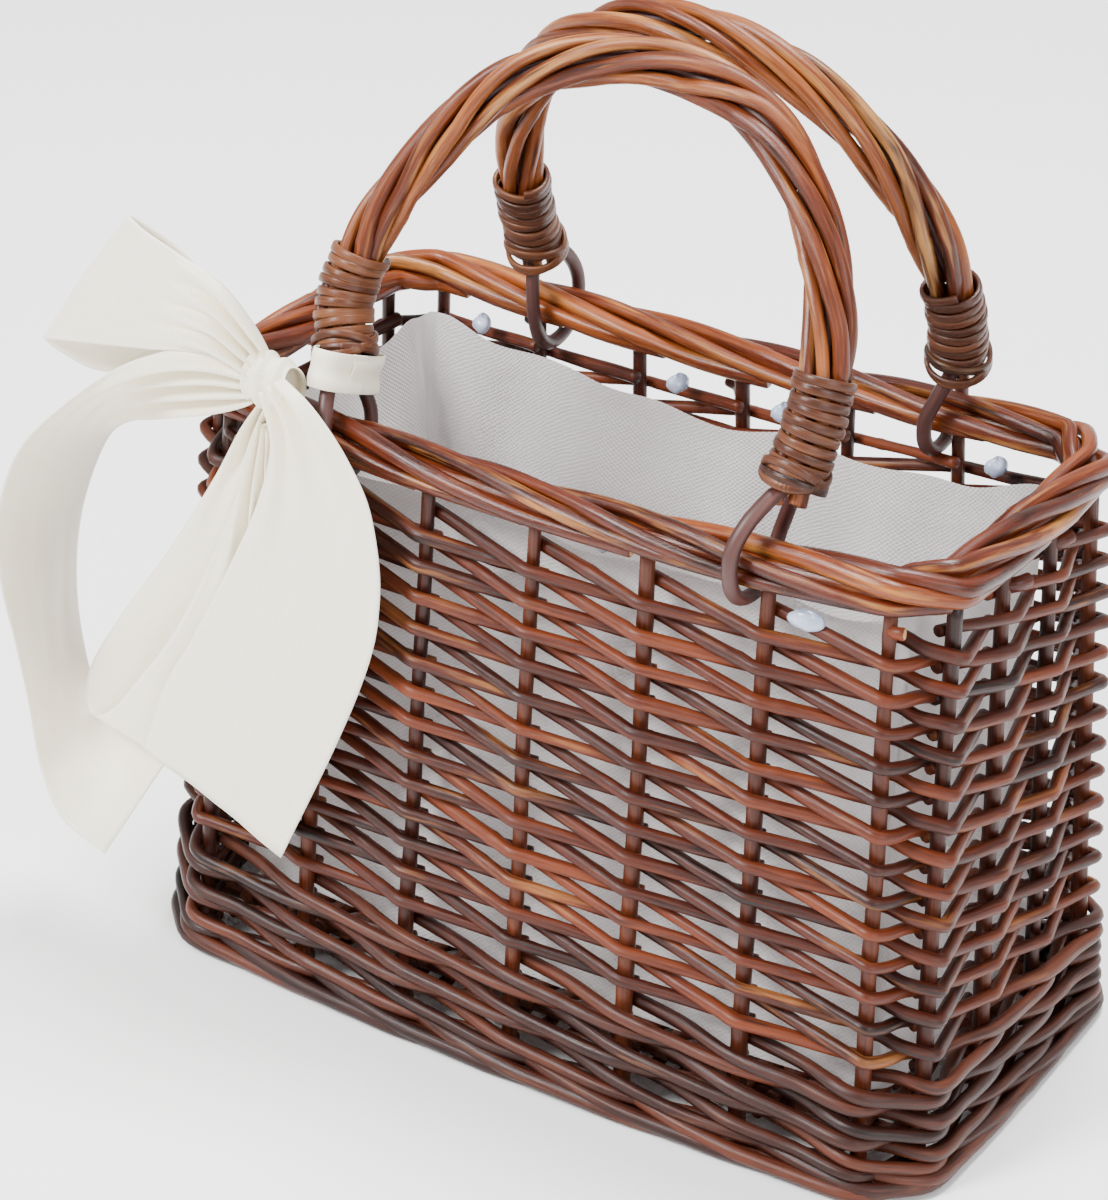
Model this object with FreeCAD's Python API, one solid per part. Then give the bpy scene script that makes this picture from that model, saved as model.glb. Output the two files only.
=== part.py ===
"""Flower girl basket: woven willow body, two swing handles, cotton liner and a satin bow.

Millimetres. Z is up, X runs along the long side and the origin is the centre of the underside.
"""
import FreeCAD
import Part
import math
import os

V = FreeCAD.Vector

# --- driving dimensions ---
rim_height = 150.0            # centre line of the rim border
half_length_foot = 103.0      # centre line of the stakes, at the table
half_length_rim = 97.0
half_depth_foot = 53.0
half_depth_rim = 44.5
corner_cut = 10.0             # the four corners are cut off at 45 degrees
long_side_stakes = 7
short_side_stakes = 4

stake_radius = 2.0
weaver_radius = 1.65
stake_bottom = 3.9
stake_top = 143.4
weave_depth = 4.2             # how far a weaver's centre stands off the stake line
weave_rise = 2.1              # how far it climbs or drops between two stakes
corner_rise = 2.6
corner_extra_depth = 0.9
bend_length = 2.5             # straight length that each bend uses up

first_row_height = 36.0
row_pitch = 8.2
row_count = 13
wale_heights = (8.4, 17.3, 26.2)
wale_outer_depth = 7.9
wale_middle_depth = 6.0
wale_rise = 2.6

foot_rod_radius = 2.0
foot_rod_height = 1.6
base_height = 8.4
base_stick_radius = 2.5
base_stick_spacing = 20.0
base_weaver_spacing = 3.8

border_rod_radius = 2.15
border_ring_radius = 4.0
border_rods = 5
border_core_radius = 1.8
cut_end_radius = 1.8

liner_inset = 6.7
liner_thickness = 1.0
liner_bottom = 15.0
liner_top = 138.0
glue_radius = 2.3

arch_radius = 57.0
arch_centre_x = 1.0
foot_x = 53.5                 # where each wire loop rings the border
leg_start = 17.0
front_leg_top = 40.0
back_leg_top = 46.0
front_lean = 24.0             # degrees inward of upright
back_lean = 21.5
wire_radius = 1.75
wire_loop_radius = 9.5
handle_rod_radius = 1.6
handle_rod_ring = 4.05
handle_rods = 6
twist_step_length = 9.2
twist_step_angle = 30.0
binding_turns = 9
binding_pitch = 2.55
binding_width = 2.4
binding_inner = 5.9
binding_outer = 7.0

ribbon_thickness = 0.6
band_start = 7.6
band_height = 8.6
band_half_width = 5.0         # across the two legs of the wire loop
band_reach = 12.2             # each way along the loop
band_thickness = 0.9
knot_radius = 6.2
knot_length = 13.0
knot_place = (-67.0, -53.0, 165.0)

os.makedirs("parts", exist_ok=True)


# --- paths and sweeps ---
def rounded_wire(points, bend=bend_length):
    """Open wire through the points: straight runs joined by tangent arcs."""
    edges = []
    here = points[0]
    for before, corner, after in zip(points, points[1:], points[2:]):
        incoming = corner - before
        outgoing = after - corner
        reach = min(bend, 0.45 * incoming.Length, 0.45 * outgoing.Length)
        incoming.normalize()
        outgoing.normalize()
        half_turn = incoming.getAngle(outgoing) / 2
        if half_turn < 0.004:
            continue
        start = corner - incoming * reach
        end = corner + outgoing * reach
        radius = reach / math.tan(half_turn)
        inward = outgoing - incoming
        inward.normalize()
        centre = corner + inward * (radius / math.cos(half_turn))
        middle = centre - inward * radius
        edges.append(Part.LineSegment(here, start).toShape())
        edges.append(Part.Arc(start, middle, end).toShape())
        here = end
    edges.append(Part.LineSegment(here, points[-1]).toShape())
    return Part.Wire(edges)


def rod(points, radius, bend=bend_length):
    """Round rod along a rounded wire."""
    path = rounded_wire(points, bend)
    circle = Part.Circle(points[0], points[1] - points[0], radius)
    profile = Part.Wire([circle.toShape()])
    return path.makePipeShell([profile], True, False)


def save(name, shapes):
    """Write one named piece."""
    piece = shapes[0] if len(shapes) == 1 else Part.makeCompound(shapes)
    piece.exportStep("parts/" + name + ".step")


# --- plan of the basket ---
def half_sizes(z):
    """Half length and half depth of the stake line at a height."""
    share = z / rim_height
    half_length = half_length_foot + (half_length_rim - half_length_foot) * share
    half_depth = half_depth_foot + (half_depth_rim - half_depth_foot) * share
    return half_length, half_depth


def octagon(z, offset=0.0):
    """Corner points of the plan at a height, anticlockwise from the front left."""
    half_length, half_depth = half_sizes(z)
    a = half_length + offset
    b = half_depth + offset
    c = corner_cut + offset * (2 - math.sqrt(2))
    return [V(-a + c, -b, z), V(a - c, -b, z), V(a, -b + c, z), V(a, b - c, z),
            V(a - c, b, z), V(-a + c, b, z), V(-a, b - c, z), V(-a, -b + c, z)]


def stake_point(index, z):
    """Stake centre at a height, counted anticlockwise from the front left."""
    corners = octagon(z)
    index = index % stake_count
    for side in range(4):
        steps = (long_side_stakes if side % 2 == 0 else short_side_stakes) - 1
        if index <= steps:
            start = corners[2 * side]
            return start + (corners[2 * side + 1] - start) * (index / steps)
        index -= steps + 1
    raise ValueError("no such stake")


def is_corner(index):
    """True when the next stake stands across a cut corner."""
    here = stake_point(index, 0)
    return (stake_point(index + 1, 0) - here).Length < 1.5 * corner_cut


def outward(index, z):
    """Unit vector that points out of the basket at a stake."""
    along = stake_point(index + 1, z) - stake_point(index - 1, z)
    here = stake_point(index, z)
    before = here - stake_point(index - 1, z)
    after = stake_point(index + 1, z) - here
    before.normalize()
    after.normalize()
    along = before + after
    along.normalize()
    return V(along.y, -along.x, 0)


def gap_point(index, z, depth, rise):
    """Point midway between a stake and the next one."""
    here = stake_point(index, z)
    there = stake_point(index + 1, z)
    along = there - here
    along.normalize()
    return (here + there) * 0.5 + V(along.y, -along.x, 0) * depth + V(0, 0, rise)


stake_count = 2 * (long_side_stakes + short_side_stakes)


def woven_rod(z, pattern, first):
    """Weaver round all the stakes.

    Each pattern entry is (depth at the stake, rise there, depth in the gap after it, rise there).
    """
    points = []
    for step in range(stake_count + 1):
        index = step - 1
        depth, rise, gap_depth, gap_rise = pattern[(step + first) % len(pattern)]
        at_corner = is_corner(index) or is_corner(index - 1)
        if at_corner and depth > 0:
            depth += corner_extra_depth
        if is_corner(index):
            gap_rise *= corner_rise / weave_rise
        stake = stake_point(index, z)
        if step > 0:
            points.append(stake + outward(index, z) * depth + V(0, 0, rise))
        points.append(gap_point(index, z, gap_depth, gap_rise))
    lead = points[1] - points[0]
    tail = points[-1] - points[-2]
    lead.normalize()
    tail.normalize()
    points[0] = points[0] + lead * 2.2
    points[-1] = points[-1] - tail * 2.2
    return rod(points, weaver_radius)


pairing = [(weave_depth, 0.0, 0.0, -weave_rise), (-weave_depth, 0.0, 0.0, weave_rise)]
waling = [(wale_outer_depth, wale_rise - 0.2, wale_middle_depth, 0.0),
          (weave_depth, 0.2 - wale_rise, 0.0, -wale_rise),
          (-weave_depth, 0.0, 0.0, wale_rise)]

# --- foot and base ---
below_table = Part.makeBox(400, 400, 20, V(-200, -200, -20))


def ring_rod(z, offset, radius):
    """Rod round the plan that starts and ends in the middle of the back."""
    corners = octagon(z, offset)
    seam = (corners[4] + corners[5]) * 0.5
    points = [seam - V(0.3, 0, 0)] + corners[5:] + corners[:5] + [seam + V(0.3, 0, 0)]
    return rod(points, radius, 3.9)


foot_rods = []
for offset in (-2.2, 2.2):
    foot_rods.append(ring_rod(foot_rod_height, offset, foot_rod_radius).cut(below_table))
save("foot_border", foot_rods)

for number, height in enumerate(wale_heights, 1):
    save("foot_wale_%d" % number, [woven_rod(height, waling, first) for first in range(3)])

half_length, half_depth = half_sizes(base_height)
stick_reach = half_length - weave_depth - weaver_radius - 0.6
stick_positions = [base_stick_spacing * step for step in (-2, -1, 0, 1, 2)]
sticks = []
for y in stick_positions:
    start = V(-stick_reach, y, base_height)
    sticks.append(Part.makeCylinder(base_stick_radius, 2 * stick_reach, start, V(1, 0, 0)))
save("base_sticks", sticks)

base_climb = base_stick_radius + weaver_radius + 0.4
base_reach = half_depth - weave_depth - weaver_radius - 0.6
base_weavers = []
weaver_total = int(2 * (stick_reach - 6.0) / base_weaver_spacing) + 1
for number in range(weaver_total):
    x = (number - (weaver_total - 1) / 2) * base_weaver_spacing
    sign = 1 if number % 2 else -1
    points = [V(x, -base_reach, base_height + 0.6 * sign * base_climb)]
    for step, y in enumerate(stick_positions):
        points.append(V(x, y, base_height + base_climb * sign * (-1) ** step))
    points.append(V(x, base_reach, base_height + 0.6 * sign * base_climb))
    base_weavers.append(rod(points, weaver_radius))
save("base_weave", base_weavers)

# --- walls ---
side_names = ("front", "right", "back", "left")
next_stake = 0
for side, name in enumerate(side_names):
    count = long_side_stakes if side % 2 == 0 else short_side_stakes
    stakes = []
    for index in range(next_stake, next_stake + count):
        bottom = stake_point(index, stake_bottom)
        top = stake_point(index, stake_top)
        stakes.append(Part.makeCylinder(stake_radius, (top - bottom).Length, bottom, top - bottom))
    next_stake += count
    save("stakes_" + name, stakes)

for number in range(row_count):
    height = first_row_height + row_pitch * number
    rods = [woven_rod(height, pairing, first) for first in range(2)]
    save("weave_row_%02d" % (number + 1), rods)

# --- rim ---
def side_rod(side, z, offset, radius):
    """Rod along one side of the rim, from the middle of one cut corner to the middle of the next."""
    corners = octagon(z, offset)
    points = [corners[(2 * side + step) % 8] for step in (-1, 0, 1, 2)]
    lead = (points[1] - points[0]) * 0.5
    tail = (points[2] - points[3]) * 0.5
    gap = 0.3 / lead.Length
    points[0] = points[1] - lead * (1 - gap)
    points[3] = points[2] - tail * (1 - gap)
    return rod(points, radius, 3.9)


border = []
for side in range(4):
    border.append(side_rod(side, rim_height, 0.0, border_core_radius))
    for number in range(border_rods):
        angle = math.radians(90 + 360 * number / border_rods)
        offset = border_ring_radius * math.cos(angle)
        length = side_rod(side, rim_height, offset, border_rod_radius)
        length.translate(V(0, 0, border_ring_radius * math.sin(angle)))
        border.append(length)
save("rim_border", border)

cut_ends = []
for index in range(stake_count):
    if is_corner(index) or index in (1, 12):    # a wire loop passes beside stakes 1 and 12
        continue
    here = stake_point(index, 141.2)
    along = stake_point(index + 1, 141.2) - here
    along.normalize()
    start = here + along * 3.2 + V(along.y, -along.x, 0) * 3.4
    cut_ends.append(Part.makeCylinder(cut_end_radius, 7.0, start, along))
save("cut_stake_ends", cut_ends)

# --- liner and its glue ---
def tub(inset, bottom, top):
    """Tapering solid inside the walls."""
    wires = []
    for z in (bottom, top):
        corners = octagon(z, -inset)
        wires.append(Part.makePolygon(corners + corners[:1]))
    return Part.makeLoft(wires, True, True)


liner_outside = tub(liner_inset, liner_bottom, liner_top)
liner_inside = tub(liner_inset + liner_thickness, liner_bottom + liner_thickness, liner_top + 1)
save("liner", [liner_outside.cut(liner_inside)])

glue = []
for index in (0, 2, 3, 5, 8, 11, 13, 14, 16, 19):
    point = gap_point(index, 141.0, -3.4, 0.0)
    glue.append(Part.makeSphere(glue_radius, point))
save("glue_dots", glue)


# --- handles ---
class Handle:
    """One swing handle, drawn in its own leaning plane.

    A point is (x, up the handle, out of the basket).
    """

    def __init__(self, name, side, lean, leg_top):
        self.name = name
        self.side = side
        self.lean = math.radians(lean)
        self.leg_top = leg_top

    def place(self, x, up, out):
        """Real position of a point."""
        y = out * math.cos(self.lean) - up * math.sin(self.lean)
        z = up * math.cos(self.lean) + out * math.sin(self.lean)
        return V(x, self.side * (half_depth_rim + y), rim_height + z)

    def leg_x(self, end, up):
        """Leg centre at a height; the leg leans out a little from its loop."""
        top = arch_centre_x + end * arch_radius
        share = (up - leg_start) / (self.leg_top - leg_start)
        return end * foot_x + (top - end * foot_x) * max(0.0, share)

    def centre(self, distance):
        """Centre line by distance from the start of the left leg: x, up, and direction."""
        leg = self.leg_top - leg_start
        arch = math.pi * arch_radius
        if distance <= leg:
            up = leg_start + distance
            return self.leg_x(-1, up), up, 0.0
        if distance >= leg + arch:
            up = self.leg_top - (distance - leg - arch)
            return self.leg_x(1, up), up, math.pi
        angle = (distance - leg) / arch_radius
        x = arch_centre_x - arch_radius * math.cos(angle)
        return x, self.leg_top + arch_radius * math.sin(angle), angle

    def length(self):
        """Length of the centre line between the two leg starts."""
        return 2 * (self.leg_top - leg_start) + math.pi * arch_radius

    def loop(self, end):
        """Wire points from the tucked-in end, round the border and back to the leg."""
        r = wire_loop_radius
        shape = [(leg_start + 4.5, 3.85), (leg_start, 3.85), (8.0, r), (-r, r), (-r, -r),
                 (8.0, -r), (leg_start, 0.0)]
        return [self.place(end * foot_x, up, out) for up, out in shape]

    def wire(self):
        """Wire core with its two end loops."""
        leg = self.leg_top - leg_start
        points = self.loop(-1)
        points.append(self.place(*self.centre(leg)[:2], 0))
        steps = 12
        for step in range(steps):
            middle = math.pi * (step + 0.5) / steps
            reach = arch_radius / math.cos(math.pi / steps / 2)
            x = arch_centre_x - reach * math.cos(middle)
            points.append(self.place(x, self.leg_top + reach * math.sin(middle), 0))
        points.append(self.place(*self.centre(self.length() - leg)[:2], 0))
        points += reversed(self.loop(1))
        return rod(points, wire_radius, 9.4)

    def twisted_rod(self, number):
        """One of the rods laid round the wire core."""
        start = 6.0
        total = self.length() - 2 * start
        steps = round(total / twist_step_length)
        points = []
        for step in range(steps + 1):
            x, up, turn = self.centre(start + total * step / steps)
            angle = math.radians(360 * number / handle_rods + twist_step_angle * step)
            sideways = handle_rod_ring * math.cos(angle)
            out = handle_rod_ring * math.sin(angle)
            x -= sideways * math.cos(turn)
            points.append(self.place(x, up + sideways * math.sin(turn), out))
        return rod(points, handle_rod_radius)

    def sleeve(self, end, start, height, inner, outer):
        """Tube round one leg."""
        bottom = self.place(self.leg_x(end, start), start, 0)
        direction = self.place(self.leg_x(end, start + height), start + height, 0) - bottom
        tube = Part.makeCylinder(outer, height, bottom, direction)
        return tube.cut(Part.makeCylinder(inner, height, bottom, direction))

    def build(self):
        """Write every piece of the handle."""
        save(self.name + "_wire", [self.wire()])
        for number in range(handle_rods):
            save("%s_rod_%d" % (self.name, number + 1), [self.twisted_rod(number)])
        for end, word in ((-1, "left"), (1, "right")):
            turns = []
            for turn in range(binding_turns):
                start = leg_start + binding_pitch * turn
                ring = self.sleeve(end, start, binding_width, binding_inner, binding_outer)
                turns.append(ring.makeFillet(0.4, [e for e in ring.Edges
                                                   if e.BoundBox.DiagonalLength > 2 * binding_outer]))
            save("%s_%s_binding" % (self.name, word), turns)


front = Handle("front_handle", -1, front_lean, front_leg_top)
back = Handle("back_handle", 1, back_lean, back_leg_top)
front.build()
back.build()

# --- satin bow on the left foot of the front handle ---
def band_face(inset):
    """Section of the ribbon band: a slot round both legs of the wire loop."""
    radius = band_half_width - inset
    straight = band_reach - band_half_width
    left = -foot_x - radius
    right = -foot_x + radius
    spot = [front.place(x, band_start, out) for x, out in
            ((left, -straight), (left, straight), (-foot_x, straight + radius), (right, straight),
             (right, -straight), (-foot_x, -straight - radius))]
    edges = [Part.LineSegment(spot[0], spot[1]).toShape(),
             Part.Arc(spot[1], spot[2], spot[3]).toShape(),
             Part.LineSegment(spot[3], spot[4]).toShape(),
             Part.Arc(spot[4], spot[5], spot[0]).toShape()]
    return Part.Face(Part.Wire(edges))


band_top = front.place(0, band_start + band_height, 0) - front.place(0, band_start, 0)
band = band_face(0.0).extrude(band_top).cut(band_face(band_thickness).extrude(band_top))
save("ribbon_band", [band])
knot = V(*knot_place)
barrel = Part.makeCylinder(knot_radius, knot_length, knot - V(knot_length / 2, 0, 0), V(1, 0, 0))
save("ribbon_knot", [barrel.makeFillet(2.5, [barrel.Edges[0], barrel.Edges[2]])])


def strip(down_path, aside, shapes, narrow, wide, bend=6.0, taper=0.0):
    """Flat ribbon from the knot.

    down_path is the direction the ribbon leaves in and aside is the other direction of the plane
    its edge is drawn in. Each shape point is (distance along, distance aside) from the knot. The
    width grows from narrow to wide over the taper distance.
    """
    forward = V(*down_path)
    forward.normalize()
    sideways = V(*aside)
    across = forward.cross(sideways)
    path = [knot + forward * u + sideways * v for u, v in shapes]
    half = ribbon_thickness / 2
    one = []
    two = []
    for index, point in enumerate(path):
        first = point - path[index - 1] if index else path[1] - point
        second = path[index + 1] - point if index < len(path) - 1 else first
        first.normalize()
        second.normalize()
        normal = (first + second).cross(across)
        normal.normalize()
        offset = normal * (half / math.cos(first.getAngle(second) / 2))
        one.append(point + offset)
        two.append(point - offset)
    edges = rounded_wire(one, bend).Edges + rounded_wire(two, bend).Edges
    edges.append(Part.LineSegment(one[0], two[0]).toShape())
    edges.append(Part.LineSegment(one[-1], two[-1]).toShape())
    slab = Part.Face(Part.Wire(Part.__sortEdges__(edges)))
    slab.translate(across * (-wide / 2))
    solid = slab.extrude(across * wide)
    if not taper:
        return solid
    corners = []
    for u, width in ((-5, narrow), (taper, wide + 1), (200, wide + 1), (200, -wide - 1),
                     (taper, -wide - 1), (-5, -narrow)):
        corners.append(knot + forward * u + across * (width / 2) - sideways * 60)
    keep = Part.Face(Part.makePolygon(corners + corners[:1])).extrude(sideways * 120)
    return solid.common(keep)


upper_loop = [(8.4, 3.5), (30, 8.5), (50, 9), (56, 4.5), (50, 0), (30, 0), (9.0, 1.0)]
save("ribbon_upper_loop", [strip((-0.94, 0, 0.34), (0, -1, 0), upper_loop, 8, 33, 3.0, 34)])
lower_loop = [(11.5, 7.0), (18, 7.3), (60, 7.3), (101, 7.3), (104, 5.9), (101, 4.5), (60, 4.5),
              (18, 4.5), (11.5, 4.0)]
save("ribbon_lower_loop", [strip((-0.42, 0, -0.908), (0, -1, 0), lower_loop, 5, 28, 2.0, 50)])
left_tail = [(8.5, 4.8), (30, 14), (50, 27), (62, 49), (66, 79), (62, 107), (50, 132)]
save("ribbon_left_tail", [strip((-1, 0, 0), (0, 0, -1), left_tail, 10, 26, 12.0)
                          .translated(V(0, -12, 0))])
front_tail = [(1.0, 8.2), (14, 9.5), (60, 10), (116, 10)]
save("ribbon_front_tail", [strip((-0.13, 0, -0.99), (0, -1, 0), front_tail, 20, 46, 8.0, 60)
                           .translated(V(11, 0, 0))])
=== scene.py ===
"""Looks of the flower girl basket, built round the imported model.

Lengths are in millimetres until a mesh is made. X runs along the long side, -Y is the front, Z is up.
"""
import math

import bpy
import numpy as np
from mathutils import Matrix, Vector


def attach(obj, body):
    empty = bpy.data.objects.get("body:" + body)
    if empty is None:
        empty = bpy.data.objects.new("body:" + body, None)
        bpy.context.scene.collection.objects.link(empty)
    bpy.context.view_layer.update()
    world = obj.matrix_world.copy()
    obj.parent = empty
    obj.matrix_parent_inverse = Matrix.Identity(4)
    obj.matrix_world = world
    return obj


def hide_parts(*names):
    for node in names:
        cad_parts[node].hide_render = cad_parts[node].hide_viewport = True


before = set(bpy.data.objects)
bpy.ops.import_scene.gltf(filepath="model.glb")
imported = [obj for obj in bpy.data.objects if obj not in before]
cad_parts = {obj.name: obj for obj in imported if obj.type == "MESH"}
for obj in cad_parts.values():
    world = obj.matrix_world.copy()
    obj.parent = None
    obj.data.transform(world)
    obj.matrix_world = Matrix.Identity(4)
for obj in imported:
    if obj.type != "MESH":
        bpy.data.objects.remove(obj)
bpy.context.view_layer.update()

MM = 0.001
rng = np.random.default_rng(2024)
UP = np.array([0.0, 0.0, 1.0])

# ---------------------------------------------------------------- plan of the basket
RIM_Z = 150.0
FOOT_HALF, RIM_HALF = (103.0, 53.0), (97.0, 44.5)
CORNER = 10.0
LONG_SIDE, SHORT_SIDE = 7, 4
STAKES = 2 * (LONG_SIDE + SHORT_SIDE)
BOW = (3.4, 0.8, 0.4, 1.5)        # how far each wall bellies out, front, right, back, left
SAG = (2.4, 0.8, 2.4, 0.8)        # how far each rim dips in its middle


def unit(v):
    v = np.asarray(v, float)
    return v / np.maximum(np.linalg.norm(v, axis=-1, keepdims=True), 1e-12)


def octagon(z):
    share = z / RIM_Z
    a = FOOT_HALF[0] + (RIM_HALF[0] - FOOT_HALF[0]) * share
    b = FOOT_HALF[1] + (RIM_HALF[1] - FOOT_HALF[1]) * share
    c = CORNER
    return np.array([(-a + c, -b), (a - c, -b), (a, -b + c), (a, b - c),
                     (a - c, b), (-a + c, b), (-a, b - c), (-a, -b + c)])


def stake(index, z):
    """Stake centre at a height, counted anticlockwise from the front left."""
    corners = octagon(z)
    index = index % STAKES
    for side in range(4):
        steps = (LONG_SIDE if side % 2 == 0 else SHORT_SIDE) - 1
        if index <= steps:
            t = index / steps
            start, end = corners[2 * side], corners[2 * side + 1]
            along = unit(end - start)
            belly = 1 - (2 * t - 1) ** 2
            p = start + (end - start) * t + np.array([along[1], -along[0]]) * BOW[side] * belly
            drop = SAG[side] * belly * (z / RIM_Z) ** 2
            return np.array([p[0], p[1], z - drop])
        index -= steps + 1
    raise ValueError("no such stake")


def outward(index, z):
    here = stake(index, z)
    along = unit(unit(here - stake(index - 1, z)) + unit(stake(index + 1, z) - here))
    return unit(np.array([along[1], -along[0], 0.0]))


def mitre(index, z):
    """Outward direction at a stake, long enough to keep an offset outline parallel."""
    here = stake(index, z)
    sides = [unit(here - stake(index - 1, z)), unit(stake(index + 1, z) - here)]
    a, b = (np.array([d[1], -d[0], 0.0]) for d in sides)
    a, b = unit(a), unit(b)
    return (a + b) / (1 + a @ b)


def is_corner(index):
    return np.linalg.norm(stake(index + 1, 0) - stake(index, 0)) < 1.6 * CORNER


# ---------------------------------------------------------------- curves and tubes
def curve(keys, step=1.6):
    """Smooth dense line through the keys."""
    keys = np.asarray(keys, float)
    gap = np.maximum(np.linalg.norm(np.diff(keys, axis=0), axis=1), 1e-6)
    slope = np.diff(keys, axis=0) / gap[:, None]
    tangent = np.empty_like(keys)
    tangent[0], tangent[-1] = slope[0], slope[-1]
    tangent[1:-1] = ((slope[1:] * gap[:-1, None] + slope[:-1] * gap[1:, None])
                     / (gap[1:] + gap[:-1])[:, None])
    out = []
    for i, d in enumerate(gap):
        n = max(2, int(math.ceil(d / step)))
        t = np.arange(n)[:, None] / n
        out.append((2 * t ** 3 - 3 * t ** 2 + 1) * keys[i] + (t ** 3 - 2 * t ** 2 + t) * d * tangent[i]
                   + (3 * t ** 2 - 2 * t ** 3) * keys[i + 1] + (t ** 3 - t ** 2) * d * tangent[i + 1])
    out.append(keys[-1:])
    return np.vstack(out)


def steady(n, knots, spread):
    """Slow random wander, n samples long."""
    x = np.linspace(0, 1, max(2, knots))
    return np.interp(np.linspace(0, 1, n), x, rng.normal(0, spread, len(x)))


class Rods:
    """Gathers tubes into one mesh with the attributes that the wood materials read."""

    def __init__(self):
        self.points, self.faces, self.marks, self.along, self.tint = [], [], [], [], []
        self.count = 0

    def add(self, path, radius, sides=10, lean=None, flat=None, ends=0, lumps=0.05):
        """Tube along a path. lean gives a normal per point and flat (thickness, width) a flat section."""
        path = np.asarray(path, float)
        n = len(path)
        tangent = unit(np.gradient(path, axis=0))
        if lean is None:
            normal = np.empty_like(path)
            first = np.cross(tangent[0], UP if abs(tangent[0][2]) < 0.9 else np.array([0.0, 1.0, 0.0]))
            normal[0] = unit(first)
            for i in range(1, n):
                v = normal[i - 1] - tangent[i] * (normal[i - 1] @ tangent[i])
                normal[i] = v / np.linalg.norm(v)
        else:
            normal = unit(lean - tangent * np.sum(lean * tangent, axis=1, keepdims=True))
        side = np.cross(tangent, normal)
        length = np.concatenate([[0], np.cumsum(np.linalg.norm(np.diff(path, axis=0), axis=1))])
        r = np.broadcast_to(np.asarray(radius, float), (n,)).copy()
        angle = np.linspace(0, 2 * math.pi, sides, endpoint=False)
        if flat is None:
            r *= 1 + steady(n, int(length[-1] / 18) + 2, lumps)
            at = rng.uniform(15, 60)
            while at < length[-1]:                        # swollen places where a bud grew
                r *= 1 + rng.uniform(0.05, 0.13) * np.exp(-((length - at) / 1.3) ** 2)
                at += rng.uniform(45, 120)
            turn = rng.uniform(0, 6.3)
            oval = 1 + 0.05 * np.cos(2 * (angle - turn))
            u = r[:, None] * np.cos(angle) * oval
            v = r[:, None] * np.sin(angle) * oval
        else:
            thick, wide = flat
            c, s = np.cos(angle), np.sin(angle)
            grow = r[:, None]
            u = grow * thick / 2 * np.sign(c) * np.abs(c) ** 0.55
            v = grow * wide / 2 * np.sign(s) * np.abs(s) ** 0.8
        ring = path[:, None, :] + normal[:, None, :] * u[..., None] + side[:, None, :] * v[..., None]
        caps = []
        for end in (0, -1):                               # a slightly rounded end
            out = tangent[end] * (-1 if end == 0 else 1)
            inner = path[end] + (ring[end] - path[end]) * 0.8 + out * 0.25
            caps.append(inner)
        rows = np.concatenate([caps[0][None], ring, caps[1][None]])
        total = n + 2
        base = self.count
        grid = base + np.arange(total * sides).reshape(total, sides)
        a, b = grid[:-1], grid[1:]
        quads = np.stack([a, np.roll(a, -1, 1), np.roll(b, -1, 1), b], axis=-1).reshape(-1, 4)
        self.points.append(rows.reshape(-1, 3))
        self.faces += [tuple(q) for q in quads.tolist()]
        self.marks += [0] * len(quads)
        self.faces += [tuple(grid[0][::-1].tolist()), tuple(grid[-1].tolist())]
        self.marks += [1 if ends in (1, 3) else 0, 1 if ends in (2, 3) else 0]
        start = rng.uniform(0, 900)
        span = np.concatenate([[length[0] - 0.3], length, [length[-1] + 0.3]]) + start
        cross = np.stack([np.broadcast_to(span[:, None], (total, sides)),
                          np.broadcast_to(np.cos(angle) * np.mean(r), (total, sides)),
                          np.broadcast_to(np.sin(angle) * np.mean(r), (total, sides))], axis=-1)
        self.along.append(cross.reshape(-1, 3) * MM)
        self.tint.append(np.tile(rng.uniform(0, 1, 3), (total * sides, 1)))
        self.count += total * sides

    def build(self, name, body, materials, replaces=()):
        return make_object(name, np.vstack(self.points), self.faces, body, materials,
                           replaces, self.marks, {"rc": np.vstack(self.along), "rv": np.vstack(self.tint)})


def make_object(name, points, faces, body, materials, replaces=(), marks=None, attributes=None):
    mesh = bpy.data.meshes.new(name)
    mesh.from_pydata((np.asarray(points) * MM).tolist(), [], faces)
    for m in materials:
        mesh.materials.append(m)
    if marks is not None:
        mesh.polygons.foreach_set("material_index", marks)
    mesh.polygons.foreach_set("use_smooth", [True] * len(mesh.polygons))
    for key, values in (attributes or {}).items():
        mesh.attributes.new(key, "FLOAT_VECTOR", "POINT").data.foreach_set(
            "vector", np.asarray(values, np.float32).ravel())
    mesh.update()
    obj = bpy.data.objects.new(name, mesh)
    bpy.context.scene.collection.objects.link(obj)
    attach(obj, body)
    if replaces:
        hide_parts(*replaces)
    return obj


# ---------------------------------------------------------------- materials
def rgb(text):
    """Colour from a hex word, as linear light."""
    value = [int(text[i:i + 2], 16) / 255 for i in (1, 3, 5)]
    return [(c / 12.92 if c <= 0.04045 else ((c + 0.055) / 1.055) ** 2.4) for c in value] + [1.0]


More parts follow.
